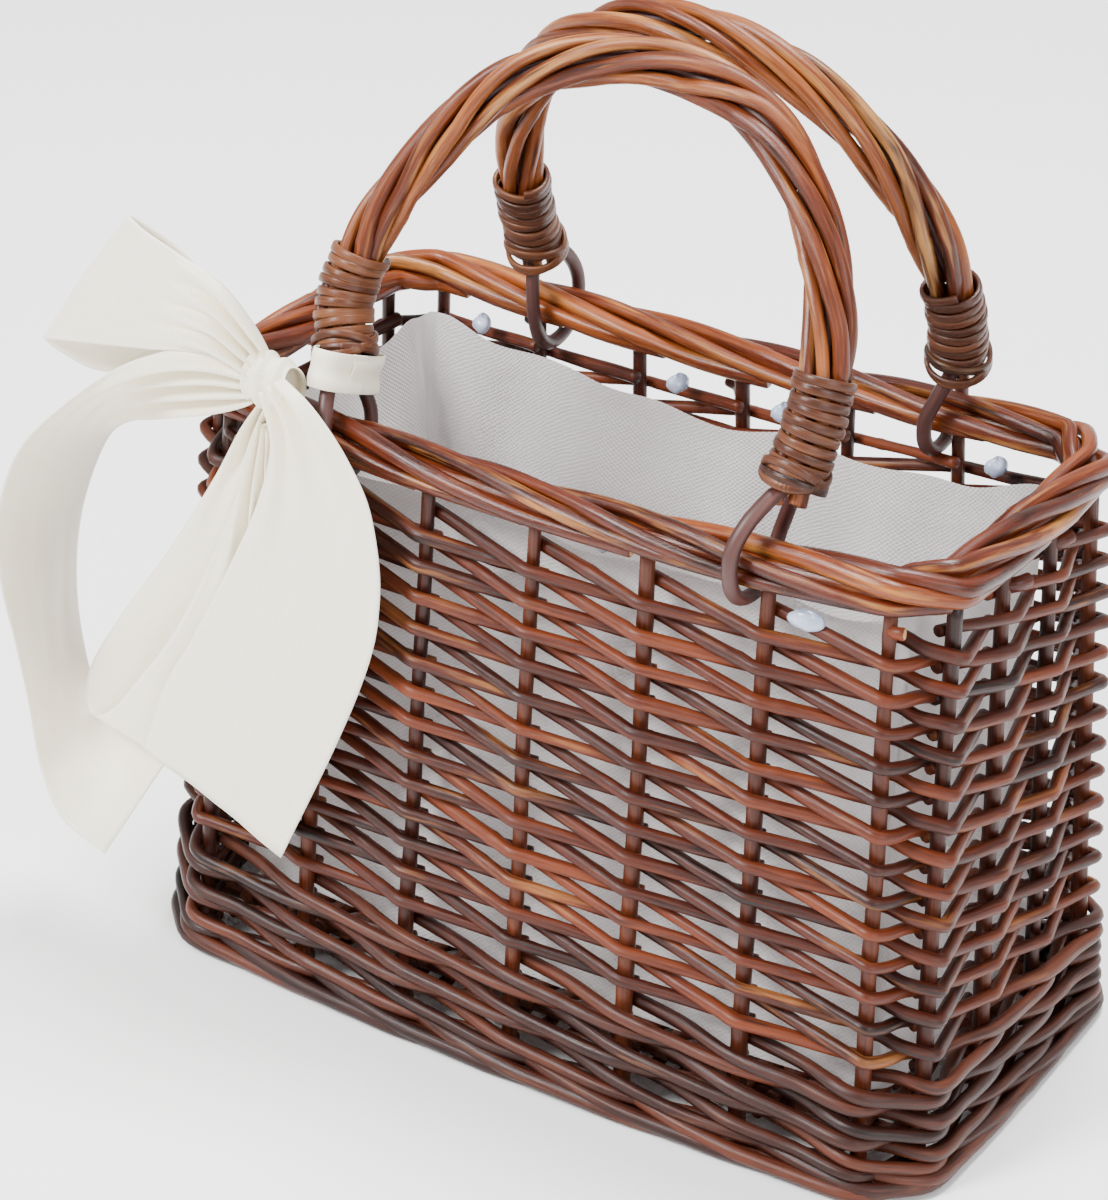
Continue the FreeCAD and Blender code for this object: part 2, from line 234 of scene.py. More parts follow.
class Nodes:
    """Short spellings for a node tree."""

    def __init__(self, name):
        self.material = bpy.data.materials.new(name)
        self.material.use_nodes = True
        self.tree = self.material.node_tree
        self.shader = self.tree.nodes["Principled BSDF"]

    def add(self, kind, **values):
        node = self.tree.nodes.new(kind)
        for key, value in values.items():
            setattr(node, key, value)
        return node

    def link(self, out, into):
        self.tree.links.new(out, into)

    def set(self, **values):
        for key, value in values.items():
            self.shader.inputs[key.replace("_", " ")].default_value = value

    def attribute(self, name):
        return self.add("ShaderNodeAttribute", attribute_name=name).outputs["Vector"]

    def scaled(self, vector, factors):
        node = self.add("ShaderNodeVectorMath", operation="MULTIPLY")
        self.link(vector, node.inputs[0])
        node.inputs[1].default_value = factors
        return node.outputs[0]

    def noise(self, vector, scale=1.0, detail=3.0, rough=0.5):
        node = self.add("ShaderNodeTexNoise")
        self.link(vector, node.inputs["Vector"])
        node.inputs["Scale"].default_value = scale
        node.inputs["Detail"].default_value = detail
        node.inputs["Roughness"].default_value = rough
        return node.outputs["Fac"]

    def ramp(self, value, stops):
        node = self.add("ShaderNodeValToRGB")
        self.link(value, node.inputs[0])
        ramp = node.color_ramp
        while len(ramp.elements) < len(stops):
            ramp.elements.new(0.5)
        for element, (place, colour) in zip(ramp.elements, stops):
            element.position = place
            element.color = colour
        return node.outputs["Color"]

    def math(self, operation, a, b=None, clamp=False):
        node = self.add("ShaderNodeMath", operation=operation, use_clamp=clamp)
        for socket, value in zip(node.inputs, (a, b)):
            if value is None:
                continue
            if isinstance(value, (int, float)):
                socket.default_value = value
            else:
                self.link(value, socket)
        return node.outputs[0]

    def mix(self, factor, a, b, mode="MIX"):
        node = self.add("ShaderNodeMix", data_type="RGBA", blend_type=mode)
        for socket, value in ((node.inputs[0], factor), (node.inputs[6], a), (node.inputs[7], b)):
            if isinstance(value, (int, float)):
                socket.default_value = value
            elif isinstance(value, (list, tuple)):
                socket.default_value = value
            else:
                self.link(value, socket)
        return node.outputs[2]

    def separate(self, vector):
        node = self.add("ShaderNodeSeparateXYZ")
        self.link(vector, node.inputs[0])
        return node.outputs

    def range(self, value, low, high, to_low, to_high):
        node = self.add("ShaderNodeMapRange")
        self.link(value, node.inputs[0])
        for socket, number in zip(node.inputs[1:5], (low, high, to_low, to_high)):
            socket.default_value = number
        return node.outputs[0]

    def bump(self, height, strength, distance, normal=None):
        node = self.add("ShaderNodeBump")
        node.inputs["Strength"].default_value = strength
        node.inputs["Distance"].default_value = distance
        self.link(height, node.inputs["Height"])
        if normal is not None:
            self.link(normal, node.inputs["Normal"])
        return node.outputs["Normal"]

    def colour(self, value):
        self.link(value, self.shader.inputs["Base Color"])

    def normal(self, value):
        self.link(value, self.shader.inputs["Normal"])

    def roughness(self, value):
        self.link(value, self.shader.inputs["Roughness"])


BARK_SPOT = rgb("#2a1510")


def wood(name, dark, mid, light, pale=None, pale_share=0.16, rough=(0.34, 0.6), coat=0.18, along=None):
    """Stained and varnished willow. along picks the grain direction of a kept CAD node."""
    n = Nodes(name)
    if along is None:
        place, tint = n.attribute("rc"), n.attribute("rv")
        fine, broad, spots = (90, 1700, 1700), (22, 260, 260), (26, 330, 330)
    else:
        place = n.add("ShaderNodeTexCoord").outputs["Object"]
        tint = n.scaled(place, (7, 7, 7))
        fine, broad, spots = (tuple(lengthways if axis == along else across for axis in "xyz")
                              for lengthways, across in ((90, 1700), (22, 260), (26, 330)))
    streak = n.noise(n.scaled(place, fine), 1.0, 4.0, 0.6)
    blotch = n.noise(n.scaled(place, broad), 1.0, 3.0, 0.55)
    parts = n.separate(tint) if along is None else None
    shade = n.math("ADD", n.math("MULTIPLY", streak, 0.55), n.math("MULTIPLY", blotch, 0.62))
    if parts is not None:
        shade = n.math("ADD", shade, n.range(parts[0], 0, 1, -0.16, 0.13))
    colour = n.ramp(shade, [(0.34, dark), (0.56, mid), (0.8, light)])
    if pale is not None:
        worn = n.noise(n.scaled(place, (34, 420, 420)), 1.0, 3.0, 0.6)
        if parts is not None:
            worn = n.math("ADD", worn, n.range(parts[1], 0, 1, -0.12, 0.1))
        share = n.range(worn, 0.68 - pale_share, 0.86 - pale_share, 0.0, 0.75)
        colour = n.mix(share, colour, pale)
    cell = n.add("ShaderNodeTexVoronoi")
    n.link(n.scaled(place, spots), cell.inputs["Vector"])
    cell.inputs["Scale"].default_value = 1.0
    knot = n.range(cell.outputs["Distance"], 0.07, 0.17, 0.85, 0.0)
    colour = n.mix(knot, colour, BARK_SPOT)
    fleck = n.range(n.noise(n.scaled(place, (240, 2600, 2600)), 1.0, 2.0, 0.5), 0.66, 0.78, 0.0, 0.55)
    colour = n.mix(fleck, colour, BARK_SPOT)
    n.colour(colour)
    n.roughness(n.range(blotch, 0.3, 0.75, rough[0], rough[1]))
    n.set(Coat_Weight=coat * 0.4, Coat_Roughness=0.25, Specular_IOR_Level=0.28)
    height = n.math("SUBTRACT", streak, n.math("MULTIPLY", knot, 0.5))
    n.normal(n.bump(height, 0.55, 0.00035))
    return n.material


willow = wood("willow_stained", rgb("#150502"), rgb("#451808"), rgb("#6d3013"), rgb("#99602f"), 0.06)
rim_willow = wood("willow_rim", rgb("#1f0803"), rgb("#57200a"), rgb("#874314"), rgb("#ad7236"), 0.09,
                  rough=(0.24, 0.45), coat=0.4)
# Stakes are darker than the weave willow: partly their own dark brown, partly painted shade for the shadow
# they stand in behind the strokes.
stake_willow_painted_shade = wood("willow_stakes_painted_shade", rgb("#120402"), rgb("#3a1407"), rgb("#5c2a12"))
foot_willow = wood("willow_foot", rgb("#110503"), rgb("#32130a"), rgb("#582917"), rgb("#76492f"), 0.04)
handle_willow = wood("willow_handle", rgb("#200903"), rgb("#5b260d"), rgb("#8d4f23"), rgb("#b27d46"), 0.11,
                     rough=(0.28, 0.5), coat=0.3)
base_sticks = wood("willow_base_sticks", rgb("#2e110a"), rgb("#66311f"), rgb("#8f5a3a"), along="x")
base_weave = wood("willow_base_weave", rgb("#2e110a"), rgb("#66311f"), rgb("#8f5a3a"), along="y")
cane = wood("cane_binding", rgb("#160905"), rgb("#43200f"), rgb("#6f4023"), rgb("#8f6540"), 0.08,
            rough=(0.3, 0.5), coat=0.3)


def cut_wood():
    n = Nodes("cut_willow")
    place = n.attribute("rc")
    rings = n.noise(n.scaled(place, (300, 1500, 1500)), 1.0, 3.0, 0.6)
    n.colour(n.ramp(rings, [(0.35, rgb("#6b3d22")), (0.5, rgb("#b98a58")), (0.7, rgb("#dcb98a"))]))
    n.set(Roughness=0.8)
    n.normal(n.bump(rings, 0.4, 0.0003))
    return n.material


def coated_wire():
    n = Nodes("coated_wire")
    place = n.attribute("rc")
    worn = n.noise(n.scaled(place, (40, 700, 700)), 1.0, 4.0, 0.6)
    n.colour(n.ramp(worn, [(0.3, rgb("#2a110e")), (0.55, rgb("#46201a")), (0.8, rgb("#5f362f"))]))
    n.roughness(n.range(worn, 0.3, 0.7, 0.42, 0.62))
    n.set(Coat_Weight=0.1, Coat_Roughness=0.4)
    n.normal(n.bump(worn, 0.25, 0.0003))
    return n.material


def woven(name, light, dark, pitch, angle=0.0, bump=0.5, rough=0.85, sheen=0.3, contrast=0.5):
    """Plain weave drawn in the cloth's own flat coordinates."""
    n = Nodes(name)
    place = n.attribute("lc")
    turn = n.add("ShaderNodeVectorRotate", rotation_type="Z_AXIS")
    n.link(place, turn.inputs["Vector"])
    turn.inputs["Angle"].default_value = angle
    wander = n.noise(n.scaled(place, (180, 180, 180)), 1.0, 2.0, 0.5)
    parts = n.separate(turn.outputs[0])
    wave = []
    for part in (parts[0], parts[1]):
        moved = n.math("ADD", part, n.math("MULTIPLY", wander, pitch * 0.7))
        wave.append(n.math("SINE", n.math("MULTIPLY", moved, 2 * math.pi / pitch)))
    weave = n.math("MULTIPLY", wave[0], wave[1])
    height = n.range(weave, -1, 1, 0, 1)
    slub = n.noise(n.scaled(place, (500, 2600, 500)), 1.0, 3.0, 0.6)
    mottled = n.noise(n.scaled(place, (45, 45, 45)), 1.0, 3.0, 0.5)
    tone = n.math("ADD", n.math("MULTIPLY", height, contrast),
                  n.math("ADD", n.math("MULTIPLY", slub, 0.45), n.math("MULTIPLY", mottled, 0.35)))
    n.colour(n.ramp(tone, [(0.25, dark), (0.85, light)]))
    n.roughness(n.range(slub, 0.3, 0.7, rough - 0.05, rough + 0.08))
    n.set(Sheen_Weight=sheen, Sheen_Roughness=0.5)
    n.normal(n.bump(height, bump, 0.0002))
    glow = n.add("ShaderNodeBsdfTranslucent")
    glow.inputs["Color"].default_value = light
    both = n.add("ShaderNodeMixShader")
    both.inputs[0].default_value = 0.3
    n.link(n.shader.outputs[0], both.inputs[1])
    n.link(glow.outputs[0], both.inputs[2])
    n.link(both.outputs[0], n.tree.nodes["Material Output"].inputs["Surface"])
    return n.material


def satin_cloth():
    """Ivory ribbon: fine twill lines, a ribbed selvage and a soft lustre."""
    n = Nodes("satin_ribbon")
    place = n.attribute("lc")
    parts = n.separate(place)
    lines = n.math("SINE", n.math("MULTIPLY", n.math("ADD", parts[0], n.math("MULTIPLY", parts[1], 0.62)),
                                  2 * math.pi / 0.00085))
    height = n.range(lines, -1, 1, 0, 1)
    cloudy = n.noise(n.scaled(place, (60, 60, 60)), 1.0, 3.0, 0.5)
    fibre = n.noise(n.scaled(place, (700, 2400, 700)), 1.0, 2.0, 0.5)
    tone = n.math("ADD", n.math("MULTIPLY", height, 0.22),
                  n.math("ADD", n.math("MULTIPLY", cloudy, 0.4), n.math("MULTIPLY", fibre, 0.4)))
    colour = n.ramp(tone, [(0.25, rgb("#f0e5c9")), (0.75, rgb("#fcf5e3"))])
    edge = n.range(parts[2], 0.93, 0.97, 0.0, 0.6)
    colour = n.mix(edge, colour, rgb("#fbf7ea"))
    n.colour(colour)
    n.roughness(n.range(cloudy, 0.3, 0.7, 0.36, 0.5))
    n.set(Sheen_Weight=0.35, Sheen_Roughness=0.35)
    n.set(Subsurface_Weight=0.12, Subsurface_Radius=(0.002, 0.0018, 0.0013))
    relief = n.math("ADD", n.math("MULTIPLY", height, 0.6), n.math("MULTIPLY", edge, 1.2))
    n.normal(n.bump(relief, 0.3, 0.00015))
    return n.material


def melted_glue():
    n = Nodes("hot_glue")
    place = n.add("ShaderNodeTexCoord").outputs["Object"]
    milk = n.noise(n.scaled(place, (260, 260, 260)), 1.0, 2.0, 0.5)
    n.colour(n.ramp(milk, [(0.3, rgb("#8f9ab4")), (0.7, rgb("#b9c1d3"))]))
    n.roughness(n.range(milk, 0.3, 0.7, 0.18, 0.35))
    n.set(Subsurface_Weight=0.4, Subsurface_Radius=(0.003, 0.003, 0.0035), Coat_Weight=0.3)
    n.normal(n.bump(milk, 0.2, 0.0004))
    return n.material


pale_end, wire_coat, satin, glue_look = cut_wood(), coated_wire(), satin_cloth(), melted_glue()
cotton = woven("cotton_liner", rgb("#ece8e7"), rgb("#cbc4c4"), 0.0013, bump=0.9)

# ---------------------------------------------------------------- walls
STROKE_DEPTH, STROKE_FALL = 3.35, 3.75       # off the wall at a stake, and down from one stake to the next
STROKE_REST, STROKE_EASE = 3.2, 0.75         # its run beside a stake, and how far it draws in there
ROWS, ROW_PITCH, FIRST_ROW = 13, 8.2, 36.4


def stroke(index, z):
    """One slanting stroke: from behind the stake before, over this stake, to behind the next one."""
    keys = []
    nudge = rng.normal(0, 0.22)
    tilt = rng.normal(0, 0.15)
    for step in (-1, 0, 1):
        here = stake(index + step, z)
        out = outward(index + step, z)
        side = 1 if step == 0 else -1
        depth = side * STROKE_DEPTH
        if side > 0 and (is_corner(index) or is_corner(index - 1)):
            depth += 0.5
        level = -step * (STROKE_FALL + tilt) + nudge
        for k in (-1, 0, 1):
            if step * k > 0:                              # past either end of the stroke
                continue
            gap = stake(index + step + k, z) - here if k else np.zeros(3)
            length = max(np.linalg.norm(gap), 1.0)
            rest = min(STROKE_REST, length * 0.3)
            fall = -k * STROKE_FALL * rest / length * (1.0 if step == 0 else 0.8)
            ease = side * STROKE_EASE if k else 0.0
            keys.append(here + gap / length * rest + out * (depth - ease) + UP * (level + fall))
        if step < 1:
            middle = (here + stake(index + step + 1, z)) / 2
            keys.append(middle + UP * (level - STROKE_FALL / 2 + rng.normal(0, 0.12)))
    keys[0] = keys[0] + unit(keys[0] - keys[1]) * 1.2
    keys[-1] = keys[-1] + unit(keys[-1] - keys[-2]) * 1.2
    return keys


for row in range(ROWS):
    height = FIRST_ROW + ROW_PITCH * row + rng.normal(0, 0.15)
    rods = Rods()
    for index in range(STAKES):
        path = curve(stroke(index, height), 1.7)
        size = rng.uniform(1.42, 1.68)
        rods.add(path, np.linspace(size * 1.03, size * 0.97, len(path)), 10)
    rods.build("weave_%02d" % (row + 1), "basket", [willow, pale_end],
               ["weave_row_%02d" % (row + 1)])


def wale_stroke(index, z):
    """Dark stroke at the foot: from behind one stake, over two, to behind the next."""
    keys = []
    for step, depth, level in ((-1, -3.3, 3.0), (-0.5, 0.2, 3.2), (0, 3.8, 1.75), (0.5, 4.2, 0.0),
                               (1, 3.8, -1.75), (1.5, 0.2, -3.2), (2, -3.3, -3.0)):
        low = math.floor(index + step)
        there = (stake(low, z) + stake(low + 1, z)) / 2 if step % 1 else stake(low, z)
        out = unit(outward(low, z) + outward(low + 1, z)) if step % 1 else outward(low, z)
        depth += 0.6 if depth > 1 and (is_corner(low) or is_corner(low - 1)) else 0.0
        keys.append(there + out * (depth + rng.normal(0, 0.12)) + UP * (level + rng.normal(0, 0.18)))
    return keys


for row, height in enumerate((8.4, 17.2, 26.1)):
    rods = Rods()
    for index in range(STAKES):
        path = curve(wale_stroke(index, height), 1.7)
        size = rng.uniform(1.55, 1.78)
        rods.add(path, np.linspace(size * 1.03, size * 0.97, len(path)), 10)
    rods.build("foot_waling_%d" % (row + 1), "basket", [foot_willow, pale_end],
               ["foot_wale_%d" % (row + 1)])

first_stake = 0
for side, word in enumerate(("front", "right", "back", "left")):
    count = LONG_SIDE if side % 2 == 0 else SHORT_SIDE
    rods = Rods()
    for index in range(first_stake, first_stake + count):
        keys = [stake(index, z) + np.array([rng.normal(0, 0.2), rng.normal(0, 0.15), 0])
                for z in (3.9, 30, 60, 90, 120, 145.5)]
        path = curve(keys, 3.0)
        rods.add(path, np.linspace(2.0, 1.7, len(path)), 10)
    rods.build("stakes_%s_rods" % word, "basket", [stake_willow_painted_shade, pale_end], ["stakes_" + word])
    first_stake += count


# ---------------------------------------------------------------- borders
OUTLINES = {}


def around(s, z, depth, rise):
    """Point beside the stake line at a whole or part stake number, the corners eased a little."""
    if z not in OUTLINES:
        places = np.array([stake(i, z) for i in range(STAKES)])
        OUTLINES[z] = (places, np.array([mitre(i, z) for i in range(STAKES)]),
                       np.linalg.norm(np.roll(places, -1, 0) - places, axis=1))
    places, mitres, gaps = OUTLINES[z]
    total = np.zeros(3)
    for shift in (-1.8, -0.9, 0.0, 0.9, 1.8):
        low = math.floor(s)
        t = s - low + shift / gaps[low % STAKES]
        if t < 0:
            t = 1 + t * gaps[low % STAKES] / gaps[(low - 1) % STAKES]
            low -= 1
        elif t > 1:
            t = (t - 1) * gaps[low % STAKES] / gaps[(low + 1) % STAKES]
            low += 1
        i, j = low % STAKES, (low + 1) % STAKES
        total += (places[i] + depth * mitres[i]) * (1 - t) + (places[j] + depth * mitres[j]) * t
    return total / 5 + UP * rise


BORDER_SPAN = 5.2
rods = Rods()
cut_ends = Rods()
core = np.array([around(-4.4 + k * 22 / 230, RIM_Z, 0.0, -0.4) for k in range(229)])
rods.add(core, 2.7, 10)
for index in range(STAKES):
    span = BORDER_SPAN + rng.uniform(-0.25, 0.35)
    turn_from, turn_to = 208 + rng.uniform(-8, 8), -62 + rng.uniform(-10, 12)
    ring = 4.05 + rng.uniform(-0.2, 0.2)
    keys = []
    steps = int(span / 0.11)
    for k in range(steps + 1):
        t = k / steps
        angle = math.radians(turn_from + (turn_to - turn_from) * (0.12 * t + 0.88 * (t * t * (3 - 2 * t))))
        reach = ring * (0.78 + 0.22 * min(1, t / 0.12))
        keys.append(around(index - 0.3 + span * t, RIM_Z, reach * math.cos(angle), reach * math.sin(angle)))
    path = np.array(keys)
    size = rng.uniform(1.85, 2.2)
    rods.add(path, np.linspace(size * 1.05, size * 0.82, len(path)), 12, ends=2)
rods.build("rim_border_rods", "basket", [rim_willow, pale_end], ["rim_border"])

for index in (0, 6, 8, 9, 13, 14, 16, 19):          # stake tops cut off below the border
    lean = 3.1 + rng.uniform(-0.3, 0.5)
    drop = -8.4 + rng.uniform(-0.5, 0.5)
    keys = [around(index + s, RIM_Z, d, drop + up) for s, d, up in
            ((0.02, 0.6, -0.6), (0.08, lean * 0.8, 0.0), (0.2, lean + 0.6, 0.2))]
    cut_ends.add(curve(keys, 1.0), 1.45, 12, ends=3)
cut_ends.build("cut_tops", "basket", [willow, pale_end], ["cut_stake_ends"])

rods = Rods()
for index in range(STAKES):
    span = 3.3 + rng.uniform(-0.15, 0.3)
    keys = []
    shape_t = (0.0, 0.14, 0.32, 0.62, 0.84, 1.0)
    depth = np.array((0.5, 3.8, 5.4, 5.3, 3.4, 1.0)) + rng.normal(0, 0.15, 6)
    rise = np.array((6.6, 5.0, 3.4, 2.25, 2.1, 2.1)) + np.abs(rng.normal(0, 0.08, 6))
    for k in range(int(span / 0.11) + 1):
        t = k / int(span / 0.11)
        keys.append(around(index + 0.05 + span * t, 0.0,
                           np.interp(t, shape_t, depth), np.interp(t, shape_t, rise)))
    path = np.array(keys)
    for _ in range(2):
        path[1:-1] = (path[:-2] + path[1:-1] * 2 + path[2:]) / 4
    size = rng.uniform(1.9, 2.1)
    rods.add(path, np.linspace(size, size * 0.9, len(path)), 12, ends=2, lumps=0.02)
rods.build("foot_border_rods", "basket", [foot_willow, pale_end], ["foot_border"])

for node, look in (("base_sticks", base_sticks), ("base_weave", base_weave)):
    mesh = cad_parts[node].data
    mesh.materials.clear()
    mesh.materials.append(look)


# ---------------------------------------------------------------- liner and glue
LINER_INSET = 7.4
# stake number, half width in stakes, and the lift of the top edge there
LINER_LIFTS = ((16.9, 0.9, 5.0), (10.6, 1.2, 2.5), (18.3, 0.9, 2.0), (13.2, 1.6, -1.5), (21.6, 1.0, 3.0),
               (7.2, 1.2, 2.0))
# stake number, half width in stakes, depth, and the share of the height where the fold begins
LINER_FOLDS = ((17.6, 0.55, 8.0, 0.1), (18.9, 0.5, 5.0, 0.2), (10.4, 0.55, 6.5, 0.15), (7.5, 0.7, 7.0, 0.2),
               (9.2, 0.5, 4.0, 0.3), (6.5, 0.6, 3.0, 0.1), (21.5, 0.6, 5.0, 0.2), (14.6, 0.6, 2.5, 0.3),
               (12.4, 0.5, 2.0, 0.3))


def liner_point(u, v):
    """u goes round the basket once, v from the middle of the floor (0) to the top edge (1)."""
    s = u * STAKES
    floor_share = 0.34
    if v <= floor_share:
        edge = around(s, 16.0, -LINER_INSET - 2.0, 0.0)
        centre = np.array([np.clip(edge[0], -46, 46), 0.0, 16.0])
        t = v / floor_share
        p = centre + (edge - centre) * t
        p[2] = 16.2 + 1.2 * (math.sin(p[0] / 13 + p[1] / 9) + 1) * (1 - t ** 4)
        return p + UP * (2.2 * t ** 6)
    t = (v - floor_share) / (1 - floor_share)
    bottom = 18.4
    top = liner_top(s)
    z = bottom + (top - bottom) * t
    swell = math.sin(math.pi * min(1, t * 1.05)) ** 0.8
    folds = (2.2 * math.sin(s * 2.1 + 0.6 + t * 1.3) + 1.9 * math.sin(s * 4.7 + 2.1 - t * 3.9)
             + 0.9 * math.sin(s * 9.3 + t * 6.1))
    belly = 1.7 * swell + folds * (0.25 + 0.75 * swell) * 0.85
    ripple = (2.2 * math.sin(t * 6.5 + s * 1.9) + 1.3 * math.sin(t * 11 - s * 3.1 + 1)) * swell
    drape = fold_in(s, t)
    corner = 1.4 * (1 - t) ** 2
    return around(s, z, -LINER_INSET - max(-0.2, belly + 1.8) - ripple * 0.5 - corner - drape, 0.0)


def liner_top(s):
    """Height of the top edge: it is glued at points and slumps between them."""
    s = s % STAKES
    edge = 137.5 + 1.1 * math.sin(s * 2.9 + 1.0) + 0.9 * math.sin(s * 5.3)
    for at, wide, lift in LINER_LIFTS:
        gap = min(abs(s - at), STAKES - abs(s - at))
        edge += lift * math.exp(-(gap / wide) ** 2)
    return min(edge, 143.0)


def fold_in(s, t):
    """Deep soft folds in the corners."""
    s = s % STAKES
    total = 0.0
    for at, wide, depth, low in LINER_FOLDS:
        gap = min(abs(s - at), STAKES - abs(s - at))
        height = min(1, max(0, (t - low) / (1 - low)))
        total += depth * math.exp(-(gap / wide) ** 2) * math.sin(math.pi * height ** 0.7)
    return total


columns, rows = 264, 64
points, flat_place = [], []
for j in range(rows + 1):
    v = 0.02 + 0.98 * j / rows
    for i in range(columns):
        p = liner_point(i / columns, v)
        points.append(p)
        flat_place.append((i / columns * 560, v * 200, 0))
faces = []
for j in range(rows):
    for i in range(columns):
        a, b = j * columns + i, j * columns + (i + 1) % columns
        faces.append((a, b, b + columns, a + columns))
faces.append(tuple(range(columns))[::-1])
liner = make_object("cotton_liner", points, faces, "basket", [cotton], ["liner"], None,
                    {"lc": np.array(flat_place) * MM})


def blob(name, spots):
    """Drops of melted glue, each a squashed and lumpy ball."""
    points, faces = [], []
    around_steps, up_steps = 18, 12
    for centre, size, squash in spots:
        base = len(points)
        phase = rng.uniform(0, 6.3)
        for j in range(up_steps + 1):
            lat = math.pi * j / up_steps
            for i in range(around_steps):
                lon = 2 * math.pi * i / around_steps
                lumps = 0.12 * math.sin(2 * lon + phase) * math.sin(lat) + 0.08 * math.sin(3 * lon + lat * 2)
                r = size * (1 + lumps)
                points.append(centre + np.array([r * math.sin(lat) * math.cos(lon) * squash[0],
                                                 r * math.sin(lat) * math.sin(lon) * squash[1],
                                                 r * math.cos(lat) * squash[2]]))
        for j in range(up_steps):
            for i in range(around_steps):
                a, b = base + j * around_steps + i, base + j * around_steps + (i + 1) % around_steps
                faces.append((a, a + around_steps, b + around_steps, b))
    return make_object(name, points, faces, "basket", [glue_look], ["glue_dots"])


spots = []
for index in (0, 2, 3, 8, 11, 13, 14, 16, 19):
    across = (1.6, 1.2, 1.2) if index in (8, 19) else (1.2, 1.6, 1.2)
    spots.append((around(index + 0.5, 142.0, -6.2, 0.0), 2.0, across))
spots.append((around(5.35, 141.0, 0.9, -1.6), 2.4, (1.7, 0.8, 1.0)))
blob("glue_drops", spots)


